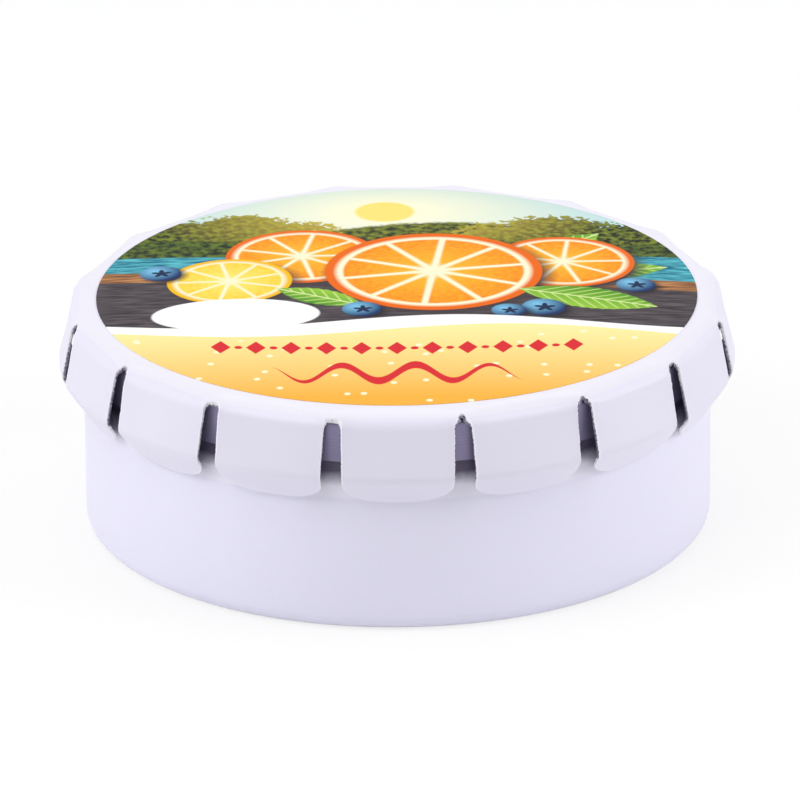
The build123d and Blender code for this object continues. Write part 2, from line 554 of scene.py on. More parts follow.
# Slots, counted from the right of the front: how round each one's top is, how far it is above the fold,
# how blunt it is and how far it leans, and how ragged and how burnished the slot's sheared edges are
slot_top_half_width = 0.7
slot_foot_half_width = 0.93
slot_widening = 5.0
slot_round = (1.05, 0.85, 0.62, 0.62, 0.8, 0.62, 0.9, 0.7, 0.62, 0.75, 0.9, 0.62, 0.7, 0.75, 0.62, 0.62)
slot_rise = (0.22, 0.08, 0.04, 0.0, 0.1, 0.0, 0.12, 0.05, 0.08, 0.0, 0.1, 0.0, 0.05, 0.16, 0.0, 0.0)
slot_bluntness = (1.45, 1.8, 3.4, 2.2, 2.0, 2.6, 1.7, 2.2, 2.5, 2.0, 1.8, 2.6, 2.0, 1.7, 2.3, 3.2)
slot_lean = (-0.06, 0.04, 0.0, -0.08, 0.1, 0.0, -0.12, 0.05, 0.0, 0.1, -0.05, 0.0, 0.08, 0.2, 0.14, 0.0)
slot_raggedness = (1.4, 1.7, 1.0, 1.2, 0.8, 1.3, 1.0, 0.7, 1.1, 1.6, 0.9, 1.2, 1.5, 1.1, 0.8, 0.9)
slot_burnish = (0.3, 0.15, 0.4, 0.4, 0.5, 0.8, 0.4, 0.7, 0.6, 0.3, 0.7, 0.5, 0.3, 0.35, 0.6, 0.85)
lean_length = 1.6
# Nicks: the slot, its side, how far down, how wide and how deep
slot_nicks = (
    (0, 1, 0.3, 0.14, -0.13),
    (0, -1, 0.55, 0.1, 0.05),
    (2, -1, 1.5, 0.1, -0.1),
    (13, 1, 3.4, 0.2, 0.06),
)


def off_middle(angle):
    """How far a place is from the middle of its finger: 0 there, and 1 at the slots' middles."""
    return np.abs((angle + pitch / 2) % pitch - pitch / 2) / (pitch / 2)


def shoulder_reach(angle):
    """How far out the shoulder's corner is: straight along a finger, softly cornered at the slots."""
    off = off_middle(angle)
    past = np.maximum(0, off - (1 - corner_softness))
    return fold_straight_reach + corner_reach * (off**2 - past**2 / corner_softness)


def shoulder_form(angle):
    """The shoulder's slope, its two bends and its length at an angle round the tin."""
    # One in the middle of a finger, and nothing at its slots
    middle = np.maximum(0, 1 - (off_middle(angle) / 0.98) ** 4) ** 1.5
    softness = np.array(fold_softness)[np.round(angle / pitch).astype(int) % finger_count]
    return [
        slot + (sharp + (soft - sharp) * softness - slot) * middle
        for slot, sharp, soft in zip(slot_shoulder, sharp_shoulder, soft_shoulder)
    ]


def face_slope(angle):
    """How steep a finger's face is, from the shoulder's corner to the crease."""
    return np.arctan2(lid_level - crease_place[1], crease_place[0] - shoulder_reach(angle))


def lid_stations(angle):
    """Where the lid's section changes below the fold, as lengths down from it."""
    slope, upper_bend, lower_bend, slope_length = shoulder_form(angle)
    face_turn = face_slope(angle)
    face = np.hypot(lid_level - crease_place[1], crease_place[0] - shoulder_reach(angle))
    upper_tangent = upper_bend * np.tan(slope / 2)
    lower_tangent = lower_bend * np.tan((face_turn - slope) / 2)
    crease_tangent = crease_bend * np.tan((tuck_slope - face_turn) / 2)
    drop = (upper_tangent + slope_length + lower_tangent) * np.sin(slope)
    bend_end = slope_length / 2 + lower_bend * (face_turn - slope)
    crease_start = bend_end + face - drop / np.sin(face_turn) - lower_tangent - crease_tangent
    crease_end = crease_start + crease_bend * (tuck_slope - face_turn)
    tip = crease_end + tuck_length - crease_tangent
    return slope_length / 2, bend_end, crease_start, crease_end, tip


def lid_section(down, angle):
    """Radius and height of the lid's middle line, a length down from the fold."""
    slope, upper_bend, lower_bend, slope_length = shoulder_form(angle)
    face_turn = face_slope(angle)
    bend_start, bend_end, crease_start, crease_end, _ = lid_stations(angle)
    upper_tangent = upper_bend * np.tan(slope / 2)
    chamfer = upper_tangent + slope_length + lower_bend * np.tan((face_turn - slope) / 2)
    run = chamfer * np.cos(slope) - chamfer * np.sin(slope) / np.tan(face_turn)
    flat_end = -slope_length / 2 - upper_bend * slope
    radius = shoulder_reach(angle) - run - upper_tangent + np.minimum(0, down - flat_end)
    level = lid_level

    def bent(start, bend, heading, most):
        """What a bend that starts at that length adds to radius and height."""
        turn = heading + np.clip((down - start) / bend, 0, most)
        return bend * (np.sin(turn) - np.sin(heading)), bend * (np.cos(turn) - np.cos(heading))

    def straight(start, length, heading):
        """What a straight run that starts at that length adds to radius and height."""
        done = np.clip(down - start, 0, length)
        return done * np.cos(heading), -done * np.sin(heading)

    for outward, upward in (
        bent(flat_end, upper_bend, 0.0, slope),
        straight(-slope_length / 2, slope_length, slope),
        bent(bend_start, lower_bend, slope, face_turn - slope),
        straight(bend_end, crease_start - bend_end, face_turn),
        bent(crease_start, crease_bend, face_turn, (crease_end - crease_start) / crease_bend),
        straight(crease_end, np.inf, tuck_slope),
    ):
        radius, level = radius + outward, level + upward
    return radius, level


def slot_half_width(slot, down):
    """Half the width of a slot, a length down from the fold."""
    bluntness = slot_bluntness[slot]
    share = np.clip((down + slot_rise[slot]) / slot_round[slot], 0, 1)
    rounding = (1 - (1 - share) ** bluntness) ** (1 / bluntness)
    widening = np.clip(down / slot_widening, 0, 1)
    return rounding * (slot_top_half_width + (slot_foot_half_width - slot_top_half_width) * widening)


def slot_shift(slot, down):
    """How far a slot's middle is aside, because its top leans."""
    return slot_lean[slot] * np.clip(1 - down / lean_length, 0, 1) ** 2


def slot_tear(slot, side, down):
    """The wander and small tears of a slot's sheared edges."""
    phase = slot * 2.3 + side * 1.1
    wander = 0.01 * np.sin(down * 3.1 + phase) + 0.01 * np.sin(down * 13.0 + phase * 2.2)
    tears = 0.022 * np.sin(down * 22.0 + phase * 3.7) * np.sin(down * 4.3 + phase)
    tears = tears + 0.014 * np.sin(down * 37.0 + phase * 1.9)
    torn = (wander + tears) * slot_raggedness[slot] * np.clip(down / 0.35, 0, 1)
    for nick_slot, nick_side, place, width, depth in slot_nicks:
        if (nick_slot, nick_side) == (slot, side):
            torn = torn + depth * np.exp(-(((down - place) / width) ** 4))
    return torn


def lid_skin(down, angle):
    """Point on the lid's middle surface."""
    radius, level = lid_section(down, angle)
    return np.stack((radius * np.sin(angle), -radius * np.cos(angle), level), axis=-1)


def unit(ways):
    """The same directions, each one long."""
    return ways / np.linalg.norm(ways, axis=-1, keepdims=True)


# The step by which slopes are measured, and the radii at which widths are: on the rim and on a finger
normal_step = 0.004
slot_radius = 28.0
edge_radius = 28.5


def lid_normal(down, angle):
    """The way that the lid's outside faces."""
    aside = normal_step / slot_radius
    along = lid_skin(down + normal_step, angle) - lid_skin(down - normal_step, angle)
    round_it = lid_skin(down, angle + aside) - lid_skin(down, angle - aside)
    normal = unit(np.cross(round_it, along))
    return -normal if normal.reshape(-1, 3)[0] @ lid_skin(down, angle).reshape(-1, 3)[0] < 0 else normal


def length_of(along, aside):
    """The length of a way from its two parts."""
    return step("SQRT", along**2.0 + aside**2.0)


# The rim's coat is a paler, less blue copy of the fingers' coat, painted light on the upward-facing rim,
# with faint specks of ink that strayed past the print's edge on the left
rim_coat = coated("lavender_rim_coat", srgb(232, 230, 240))
where = object_place(rim_coat.node_tree)
flecks = round_spots(where, 2600.0, 0.6, 0.3, 8.0)
x, y = part_of(where, "X"), part_of(where, "Y")
near_print = remap(length_of(x, y), 26.9 * mm, 25.9 * mm)
stray_side = remap(x + y * 0.6, 2.0 * mm, -18.0 * mm, 0.0, 0.55)
stray = step("MULTIPLY", flecks, near_print * stray_side, clamp=True)
lay_over(rim_coat, stray, srgb(226, 196, 120))

# Torn metal inside a sheared edge: dark and rough, with brown specks
torn_edge, tree, shader = new_finish("torn_edge")
where = object_place(tree)
crumbs = noise(where, 7000.0, 3.0)
torn = shaded(crumbs, 0.35, 0.65, srgb(84, 76, 100), srgb(206, 199, 222))
torn = shaded(noise(where, 2200.0, 2.0), 0.58, 0.72, torn, srgb(104, 70, 62), most=0.5)
dress(shader, torn, remap(crumbs, 0.3, 0.7, 0.5, 0.75), crumbs, 1.0, 0.03)
shader.inputs["Metallic"].default_value = 0.3


def burnished_to(outer, inner, share):
    """How far in a sheared face is burnished, before it is torn."""
    share = np.clip(share, 0.05, 0.95)[:, None]
    return outer * (1 - share) + inner * share


# The rim's columns, in millimetres from each slot's middle, are close together there. The rim ends at
# the folds, and a little higher round the slots' tops, where its edge is bevelled towards the inside.
slot_columns = np.concatenate(
    (np.linspace(-5.5, -0.95, 22), np.linspace(-0.9, 0.9, 61), np.linspace(0.95, 5.44, 22))
)
whole_notch = 0.05
bevel_above, bevel_below = 0.14, 0.2
rim_slot = np.repeat(np.arange(finger_count), len(slot_columns))
rim_off = np.tile(slot_columns, finger_count)
rim_angles = (rim_slot + 0.5) * pitch + rim_off / slot_radius
rim_end = np.zeros(len(rim_angles))
for slot, rise in enumerate(slot_rise):
    if rise > 0:
        own = rim_slot == slot
        span = np.linspace(-rise, 0, 60)
        aside = np.abs(rim_off[own] - slot_shift(slot, 0.0))
        rim_end[own] = np.interp(aside, slot_half_width(slot, span), span, right=0.0)
rim_slope, rim_bend, _, rim_slope_length = shoulder_form(rim_angles)
rim_flat_end = -rim_slope_length / 2 - rim_bend * rim_slope
rim_start = rim_flat_end - (lid_section(rim_flat_end, rim_angles)[0] - panel_radius)
rim_rows = np.concatenate((np.linspace(0, 0.92, 24), (0.95, 0.975, 0.99, 1.0)))[:, None]


def rim_skin(end, side):
    """One side of the rim's sheet down to an end: its points, and how the lid's outside faces there."""
    down = rim_start + rim_rows * (end - rim_start)
    angles = np.broadcast_to(rim_angles, down.shape)
    normals = lid_normal(down, angles)
    return lid_skin(down, angles) + normals * side * sheet / 2, normals


notched = np.clip(-rim_end / whole_notch, 0, 1)
rim_outer, outer_facing = rim_skin(rim_end - bevel_above * notched, 1)
rim_middle, middle_facing = rim_skin(rim_end, 0)
rim_inner, inner_facing = rim_skin(rim_end + bevel_below * notched, -1)
along_rim = np.roll(rim_middle[-1], -1, axis=0) - np.roll(rim_middle[-1], 1, axis=0)
cut_facing = unit(np.cross(middle_facing[-1], along_rim))
cut_facing *= np.sign(np.sum(cut_facing * (rim_middle[-1] - rim_middle[-2]), axis=1, keepdims=True))
cut_facing = np.stack((cut_facing, cut_facing))
burnish = np.array(slot_burnish)[rim_slot] + 0.1 * np.sin(rim_angles * 400.0)
burnish_end = burnished_to(rim_outer[-1], rim_inner[-1], burnish)
# After the sheet's two finishes come those of its sheared edges: the near-white burnished one, partly
# painted highlight, and the torn one
burnish_and_highlight, torn_away = 2, 3
rim = skin_mesh(
    "lid_rim_pressed",
    [
        (rim_outer, outer_facing, True, coat_side),
        (rim_inner, -inner_facing, True, tin_side),
        (np.stack((rim_outer[-1], burnish_end)), cut_facing, True, burnish_and_highlight),
        (np.stack((burnish_end, rim_inner[-1])), cut_facing, True, torn_away),
    ],
    [rim_coat, tinplate, cut_edge_and_highlight, torn_edge],
)
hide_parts("lid_rim")
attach(rim, "lid")

# Skirt fingers
# Sixteen tongues of the same sheet, parted by sheared slots. Each leans out to a soft crease
# and then turns in to grip under the hem, and its two lower corners are rounded off.

corner_width = 3.6
corner_height = 2.1
edge_columns = np.array((0.0, 0.05, 0.1, 0.15, 0.2, 0.26, 0.33, 0.42, 0.55, 0.75))
inner_columns = 27
# How near to its slot, as a share of half the pitch, a finger's edge is measured
edge_place = 0.88
# How many columns the burr takes at left and right, which carry the near-white edge finish as a painted
# highlight, its sizes, and those of the groove behind it
left_burr, right_burr = 2, 1
lip_height = 0.03
left_lip_width, right_lip_width = 0.13, 0.07
groove_place, groove_width = 0.3, 0.07
# How deep and how far down the punch drew a slot's top, and how much of the slot that may fill
drawn_depth = 0.34
drawn_length = 0.9
drawn_room = 0.86
# Where the slots' edges are burnished deeper, and how deep the tip's edge is
deeper_burnish = 0.45
deeper_place, deeper_width = 1.4, 0.8
tip_burnish = 0.8

# Rows of a finger, as shares of the way along each part from the fold down
slope_part, bend_part, face_part, crease_part, tuck_part = range(5)
upper_rows = [(slope_part, share) for share in (0.0, 0.5)]
upper_rows += [(bend_part, share) for share in np.linspace(0, 1, 13)[:-1]]
upper_rows += [(face_part, share) for share in np.linspace(0, 1, 61)[:-1]]
upper_rows += [(crease_part, share) for share in np.linspace(0, 1, 11)[:-1]]
tuck_rows = (0.0, 0.06, 0.12)
corner_leans = np.linspace(0, math.pi / 2, 15)
first_corner_row = 0.14


def down_to(part, share, angle):
    """How far below the fold a row of a finger is at an angle."""
    knots = (0 * angle, *lid_stations(angle))
    return knots[part] * (1 - share) + knots[part + 1] * share


def finger_rows(middle_angle):
    """All the rows of a finger, with those round its lower corners at even turns of the corner."""
    crease_end, tip = lid_stations(middle_angle)[3:]
    below_crease = float((tip - crease_end)[0])
    corner_rows = [1 - corner_height * (1 - math.sin(lean)) / below_crease for lean in corner_leans]
    shares = [*tuck_rows, *(share for share in corner_rows if share > first_corner_row)]
    return upper_rows + [(tuck_part, share) for share in shares]


def sheared_side(slot, side, middle_angle, rows):
    """The angles of a finger's edge beside a slot, row by row."""
    edge_angle = middle_angle - side * edge_place * pitch / 2
    down = np.array([down_to(part, share, edge_angle)[0] for part, share in rows])
    from_tip = lid_stations(edge_angle)[4][0] - down
    radius = lid_section(down, np.full_like(down, edge_angle[0]))[0]
    rounded = 1 - np.clip(from_tip / corner_height, 0, 1)
    half = np.maximum(slot_half_width(slot, down) + slot_tear(slot, side, down), 0)
    half = half + corner_width * (1 - np.sqrt(1 - rounded**2))
    aside = side * half + slot_shift(slot, down)
    return middle_angle[0] - side * pitch / 2 + aside / radius


def row_angles(left, right):
    """The angles of one row's columns, close together at both edges."""
    half_width = (right - left) * edge_radius / 2
    # Where a finger is narrow, near its tip, the columns at its edges draw together
    near = edge_columns * min(1.0, half_width / (edge_columns[-1] * 1.4)) / edge_radius
    inside = np.linspace(left + near[-1], right - near[-1], inner_columns)
    return np.concatenate((left + near[:-1], inside, right - near[:-1][::-1]))


def lip_of(distance, down, angle, side):
    """The burr that shearing leaves beside a slot, and the faint coined groove behind it."""
    on_left = side < 0
    width = np.where(on_left, left_lip_width, right_lip_width)
    burr = lip_height * np.where(on_left, 1.0, 0.5) * np.exp(-((distance / width) ** 2))
    groove = -0.5 * lip_height * np.exp(-(((distance - groove_place) / groove_width) ** 2))
    # Both grow from nothing at the fold, and are fainter below the crease
    below_crease = down - lid_stations(angle)[3]
    return (burr + groove) * np.clip(down / 0.4, 0, 1) * np.clip(1.2 - below_crease / 0.8, 0.25, 1)


def drawn_in(outward, down, angle, slot):
    """How a slot's top was drawn down by the punch, so that the sheared face is seen from outside."""
    sideways = np.stack((np.cos(angle), np.sin(angle), 0 * angle), axis=1)
    drawn = outward * drawn_depth * np.clip(1 - down / drawn_length, 0, 1)[:, None]
    # Aside it stops short of the slot's middle, where the next finger's edge comes
    room = drawn_room * np.array([slot_half_width(*place) for place in zip(slot, down)])
    aside = np.sum(drawn * sideways, axis=1)
    too_far = aside - np.clip(aside, -room, room)
    return drawn - too_far[:, None] * sideways


def bent_finger(number):
    """One finger: both sides of its sheet, its burrs, its sheared edges and its end at the fold."""
    left_slot, right_slot = (number - 1) % finger_count, number
    middle_angle = np.array([number * pitch])
    rows = finger_rows(middle_angle)
    left = sheared_side(left_slot, 1, middle_angle, rows)
    right = sheared_side(right_slot, -1, middle_angle, rows)
    angles = np.array([row_angles(*ends) for ends in zip(left, right)])
    # Each row keeps its share of the way down at every angle, so that creases and tip line up
    down = np.array([down_to(part, share, row) for (part, share), row in zip(rows, angles)])
    edge_distance = np.minimum(angles - left[:, None], right[:, None] - angles) * edge_radius
    normals = lid_normal(down, angles)
    middle = lid_skin(down, angles)
    lip = lip_of(edge_distance, down, angles, angles - middle_angle)
    outer = middle + normals * (sheet / 2 + lip)[..., None]
    inner = middle - normals * sheet / 2
    # Only the burr tilts the skin's own normals, and not near the fold, where the rim goes on
    tilted = unit(np.cross(np.gradient(outer, axis=1), np.gradient(outer, axis=0)))
    tilted *= np.sign(np.sum(tilted * normals, axis=-1, keepdims=True))
    burred = np.clip(1 - edge_distance / 0.5, 0, 1) * np.clip(down / 0.25, 0, 1)
    outer_normals = normals + (tilted - normals) * burred[..., None]

    # The sheared outline, from the fold down one side, across the tip and up the other
    last_row, last_column = len(rows) - 1, angles.shape[1] - 1
    outline = [(row, 0) for row in range(last_row + 1)]
    outline += [(last_row, column) for column in range(1, last_column + 1)]
    outline += [(row, last_column) for row in range(last_row - 1, -1, -1)]
    edge = tuple(np.array(outline).T)
    edge_slot = [left_slot if column == 0 else right_slot for row, column in outline]
    outward = unit(np.cross(np.gradient(middle[edge], axis=0), normals[edge]))
    halfway = last_row // 2
    if outward[halfway] @ (middle[halfway, 0] - middle[halfway, last_column // 2]) < 0:
        outward = -outward
    # The outside's normals lean over at its edge, as at a softly rounded one
    outer_normals[edge] += outward * 0.7 * np.clip(down[edge] / 0.3, 0, 1)[:, None]
    outer_normals = unit(outer_normals)
    inner[edge] += drawn_in(outward, down[edge], angles[edge], edge_slot)

    # The sheared face is burnished from the outside in, and torn further in; its burnished part is
    # near-white, partly painted highlight
    slot_rows = sum(part < tuck_part for part, share in rows)
    run = np.arange(len(outline))
    deeper = deeper_burnish * np.exp(-(((down[edge] - deeper_place) / deeper_width) ** 2))
    burnish = np.where(edge[0] < slot_rows, np.array(slot_burnish)[edge_slot] + deeper, tip_burnish)
    burnish = burnish + 0.1 * np.sin(run * 0.9 + number) + 0.1 * np.sin(run * 2.3 + number * 3)
    burnish_end = burnished_to(outer[edge], inner[edge], burnish)
    folded_over = unit(outward + normals[edge] * 0.5)
    fold_facing = unit(middle[0] - middle[1])
    # Near-white strips along the outside's edges and round the tip's corners are painted highlight
    outside_parts = (
        (np.s_[:slot_rows, left_burr:-right_burr], coat_side),
        (np.s_[slot_rows - 1 :, 1:-1], coat_side),
        (np.s_[:slot_rows, : left_burr + 1], burnish_and_highlight),
        (np.s_[:slot_rows, -right_burr - 1 :], burnish_and_highlight),
        (np.s_[slot_rows - 1 :, :2], burnish_and_highlight),
        (np.s_[slot_rows - 1 :, -2:], burnish_and_highlight),
    )
    patches = [(outer[part], outer_normals[part], False, finish) for part, finish in outside_parts]
    patches += [
        (inner, -normals, False, tin_side),
        (np.stack((outer[edge], burnish_end)), np.stack((folded_over, outward)), False, burnish_and_highlight),
        (np.stack((burnish_end, inner[edge])), np.stack((outward, outward)), False, torn_away),
        (np.stack((outer[0], inner[0])), np.stack((fold_facing, fold_facing)), False, torn_away),
    ]
    finishes = [outer_coat, tinplate, cut_edge_and_highlight, torn_edge]
    return skin_mesh(f"finger_{number + 1:02d}_bent", patches, finishes)


for number in range(finger_count):
    finger = bent_finger(number)
    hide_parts(f"skirt_finger_{number + 1:02d}")
    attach(finger, f"finger_{number + 1:02d}")

# Lid panel
# The slightly domed middle of the lid, which clicks in under a thumb.

panel_rise = 0.5
dome_radius = (panel_radius**2 + panel_rise**2) / (2 * panel_rise)
dome_columns = 256


def dome_section(edge_level, reach):
    """Section of a domed face from its middle to its edge, and the way that it faces."""
    radius = np.concatenate((np.linspace(0, reach - 0.4, 40), np.linspace(reach - 0.3, reach, 4)))
    height = np.sqrt(dome_radius**2 - radius**2)
    places = np.stack((radius, edge_level + panel_rise - (dome_radius - height)), axis=1)
    return places, np.stack((radius / dome_radius, height / dome_radius), axis=1)


def ride_with_panel(piece, edge_level):
    """The piece's place is baked into its mesh."""
    edge_level * mm
    (edge_level + panel_rise) * mm
    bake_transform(piece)


top_level = lid_level + sheet / 2
under_level = lid_level - sheet / 2
for name, level, side, finish in (
    ("panel_top_face", top_level, 1, outer_coat),
    ("panel_underside", under_level, -1, tinplate),
):
    section, facing = dome_section(level, panel_radius)
    face = skin_mesh(name, [(*turned(section, side * facing, dome_columns), True, 0)], [finish])
    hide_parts("lid_panel")
    ride_with_panel(face, level)

# Printed disc
# A round of printed film over the whole panel, under a clear varnish. Its picture is a plain design:
# citrus slices, leaves and berries on a slate board before water and trees, above a sandy field.

film = 0.05
film_radius = 25.85

printed_film, tree, shader = new_finish("printed_film")
in_mm = stretched(object_place(tree), (1000.0, 1000.0, 0.0))
across, up = part_of(in_mm, "X"), part_of(in_mm, "Y")


def laid_on(picture, colour, shape, softness=0.12):
    """A colour laid on the picture wherever a shape's depth is above zero."""
    return mix_colours(step("ADD", shape / softness, 0.5, clamp=True), picture, colour)


def ripple(height, swell, length, phase):
    """Millimetres below a wavy line across the disc."""
    return step("SINE", across / length + phase) * swell + height - up


def below_line(height):
    """Millimetres below a straight line that falls a little to the right."""
    return across * -0.06 - (up - height)


def turned_place(x, y, degrees):
    """The two directions of a motif of its own, along it and across it."""
    cosine, sine = math.cos(math.radians(degrees)), math.sin(math.radians(degrees))
    from_x, from_y = across - x, up - y
    return from_x * cosine + from_y * sine, from_y * cosine - from_x * sine


def oval(x, y, wide, high):
    """Depth inside an oval of these half sizes."""
    return (1.0 - length_of((across - x) / wide, (up - y) / high)) * min(wide, high)


def speckle(scale, detail, stretch=(1.0, 1.0, 1.0)):
    """A drifting value for foliage, water and stone."""
    return noise(stretched(in_mm, stretch), scale, detail)


def citrus(picture, x, y, radius, wedges, degrees, peel_colour, pulp_colour, heart_colour):
    """A cut round of citrus: its shadow, peel, pith and wedges."""
    along, aside = turned_place(x, y, degrees)
    out = length_of(along, aside)
    wall = abs(step("SINE", step("ARCTAN2", aside, along) * (wedges / 2)))
    wall = wall * out / (wedges / 2) - radius * 0.03
    wedge = step("MINIMUM", step("MINIMUM", wall, radius * 0.83 - out), out - radius * 0.1)
    pulp = shaded(speckle(1.9, 3.0) * (out / radius), 0.05, 0.6, heart_colour, pulp_colour)
    picture = laid_on(picture, srgb(58, 50, 54), oval(x + 0.5, y - 0.9, radius * 1.02, radius), 1.6)
    picture = laid_on(picture, peel_colour, radius - out)
    picture = laid_on(picture, srgb(255, 243, 208), radius * 0.9 - out, 0.5)
    return laid_on(picture, pulp, wedge, 0.22)


def leaf(picture, x, y, length, width, degrees, blade_colour, dark_colour):
    """A pointed leaf with a rib and paler veins."""
    along, aside = turned_place(x, y, degrees)
    off_rib = abs(aside)
    bow = 1.0 - (along / (length / 2)) ** 2.0
    teeth = step("SINE", along * 7.0) * 0.06
    blade = bow * (width / 2) + teeth * bow - off_rib
    veins = step("SINE", (along + off_rib * -1.1) * 5.2) - 0.78
    picture = laid_on(picture, shaded(aside, -width / 2, width / 2, blade_colour, dark_colour), blade)
    picture = laid_on(picture, srgb(196, 222, 130), step("MINIMUM", veins, blade - 0.2), 0.5)
    return laid_on(picture, srgb(214, 233, 158), step("MINIMUM", 0.11 - off_rib, blade))


def berry(picture, x, y, size):
    """A round blue berry, lit from above, with a star where its flower was."""
    lit = oval(x - 0.3 * size, y + 0.35 * size, 1.3 * size, 1.3 * size)
    skin = shaded(lit, 0.0, 1.3 * size, srgb(10, 44, 96), srgb(128, 196, 232))
    along, aside = turned_place(x + 0.1, y, 20.0)
    lobes = step("COSINE", step("ARCTAN2", aside, along) * 5.0) * (0.14 * size)
    star = lobes + 0.36 * size - length_of(along, aside)
    picture = laid_on(picture, srgb(30, 26, 32), oval(x + 0.4, y - 0.5, size, size), 0.9)
    picture = laid_on(picture, skin, oval(x, y, size, size))
    return laid_on(picture, srgb(12, 34, 70), star)


# Sky with a low sun
picture = shaded(up, 10.0, 25.0, srgb(214, 236, 232), srgb(166, 208, 216))
picture = shaded(oval(-1.0, 19.5, 15.0, 9.0), -3.0, 8.0, picture, srgb(255, 250, 214))
picture = laid_on(picture, srgb(255, 226, 120), oval(-1.0, 19.6, 2.6, 2.6), 0.4)

# Hills, with trees at both sides that are lit by the sun
foliage = speckle(1.3, 4.0)
hill_colour = shaded(foliage, 0.38, 0.66, srgb(30, 46, 20), srgb(132, 138, 44))
picture = laid_on(picture, hill_colour, ripple(14.2, 1.9, 6.2, 0.9) + foliage * 1.2, 0.5)
leafy = speckle(1.5, 6.0)
crowns = oval(-19.0, 13.6, 5.8, 4.4)
for crown in (
    (-13.4, 15.6, 4.4, 3.6),
    (-8.6, 14.6, 3.6, 2.6),
    (13.8, 15.0, 5.0, 3.4),
    (19.4, 12.6, 4.6, 4.0),
    (8.8, 14.2, 3.4, 2.2),
):
    crowns = step("MAXIMUM", crowns, oval(*crown))
crowns = crowns + remap(leafy, 0.3, 0.7, -1.0, 1.0)
crown_colour = shaded(leafy, 0.42, 0.62, srgb(14, 24, 10), srgb(118, 130, 36))
sunlit = oval(-1.0, 19.0, 14.0, 9.0)
crown_colour = shaded(sunlit, -4.0, 6.0, crown_colour, srgb(232, 206, 84), most=0.6)
picture = laid_on(picture, crown_colour, crowns, 0.4)
near_colour = shaded(foliage, 0.4, 0.62, srgb(20, 34, 16), srgb(92, 112, 36))
picture = laid_on(picture, near_colour, ripple(10.2, 2.6, 8.6, 4.1) + foliage * 0.8, 0.4)

# Water, a plank edge and the slate board
water = shaded(speckle(0.9, 4.0, (0.5, 2.6, 1.0)), 0.35, 0.68, srgb(8, 96, 124), srgb(96, 196, 206))
wood = shaded(speckle(0.7, 4.0, (0.35, 5.0, 1.0)), 0.35, 0.65, srgb(84, 46, 26), srgb(196, 138, 88))
slate = shaded(speckle(0.8, 5.0, (0.4, 3.0, 1.0)), 0.35, 0.7, srgb(46, 40, 46), srgb(96, 88, 92))
picture = laid_on(picture, water, ripple(8.6, 0.35, 5.0, 0.0), 0.3)
picture = laid_on(picture, wood, below_line(3.9), 0.15)
picture = laid_on(picture, slate, below_line(1.6), 0.2)

# Fruit, leaves and berries on the board, the hindmost first: middle, size, turn and colours
orange_fruit = (srgb(232, 104, 8), srgb(240, 124, 8), srgb(255, 184, 44))
lemon_fruit = (srgb(244, 186, 10), srgb(248, 198, 30), srgb(255, 230, 110))
leaf_green, leaf_dark = srgb(150, 200, 62), srgb(72, 140, 34)
for motif, *form in (
    (leaf, -4.6, 10.2, 11.0, 4.2, 118.0, leaf_green, leaf_dark),
    (leaf, 13.6, 9.6, 12.0, 4.6, 48.0, leaf_green, leaf_dark),
    (leaf, 17.6, 4.4, 12.0, 4.4, 14.0, leaf_dark, leaf_green),
    (citrus, -8.2, 8.4, 6.6, 9, 40.0, *orange_fruit),
    (citrus, 14.4, 6.8, 6.2, 9, 5.0, *orange_fruit),
    (citrus, -14.4, 2.6, 5.4, 9, 20.0, *lemon_fruit),
    (citrus, 3.2, 4.4, 9.4, 10, 12.0, *orange_fruit),
    (leaf, 16.4, -1.8, 12.5, 4.8, -18.0, leaf_green, leaf_dark),
    (leaf, -6.6, -1.6, 8.6, 3.4, 150.0, leaf_green, leaf_dark),
    (berry, 12.6, -4.2, 1.9),
    (berry, 9.6, -5.0, 1.5),
    (berry, -3.0, -4.6, 1.7),
    (berry, 20.6, 1.4, 1.7),
    (berry, -20.4, 5.0, 1.8),
):
    picture = motif(picture, *form)

# White band with a bare oval, and the sandy field under it
white_ink = srgb(253, 252, 253)
picture = laid_on(picture, white_ink, ripple(-7.2, 1.2, 6.4, 0.7))
picture = laid_on(picture, white_ink, oval(-13.8, -5.4, 7.2, 3.7))
field = ripple(-9.3, 1.25, 6.8, 0.1)
picture = laid_on(picture, shaded(up, -24.0, -8.5, srgb(245, 178, 66), srgb(255, 238, 164)), field)
inputs = {"Vector": in_mm, "Scale": 0.27}
grains = made(tree, "ShaderNodeTexVoronoi", inputs, "Distance", voronoi_dimensions="2D")
picture = laid_on(picture, srgb(255, 246, 208), step("MINIMUM", 0.075 - grains, field - 0.8), 0.02)

# Red border ornament in the field: a bowed row of diamonds and dots, and a swelling line under it
red_ink = srgb(214, 40, 48)
ornament_pitch = 3.0
above_row = up - across**2.0 * 0.004 + 13.6


def along_row(shift):
    """Millimetres from the middle of the nearest diamond or dot."""
    return step("WRAP", across + shift, ornament_pitch, 0.0) - ornament_pitch / 2


diamond = 0.85 - (abs(along_row(ornament_pitch / 2)) + abs(above_row) * 0.62)
diamond = step("MINIMUM", diamond, 16.6 - abs(across))
dot = step("MINIMUM", 0.34 - length_of(along_row(0.0), above_row), 15.2 - abs(across))
curl = (1.0 - (across / 10.5) ** 2.0) * 0.8 - abs(ripple(-19.0, 1.7, 1.0, 0.0))
for shape, softness in ((diamond, 0.1), (dot, 0.1), (curl, 0.14)):
    picture = laid_on(picture, red_ink, shape, softness)

ink = speckle(9.0, 2.0)
inked = lightened(picture, remap(ink, 0.2, 0.8, 0.965, 1.035))
dress(shader, inked, remap(ink, 0.2, 0.8, 0.38, 0.5), ink, 0.3, 0.004)
shader.inputs["Specular IOR Level"].default_value = 0.05

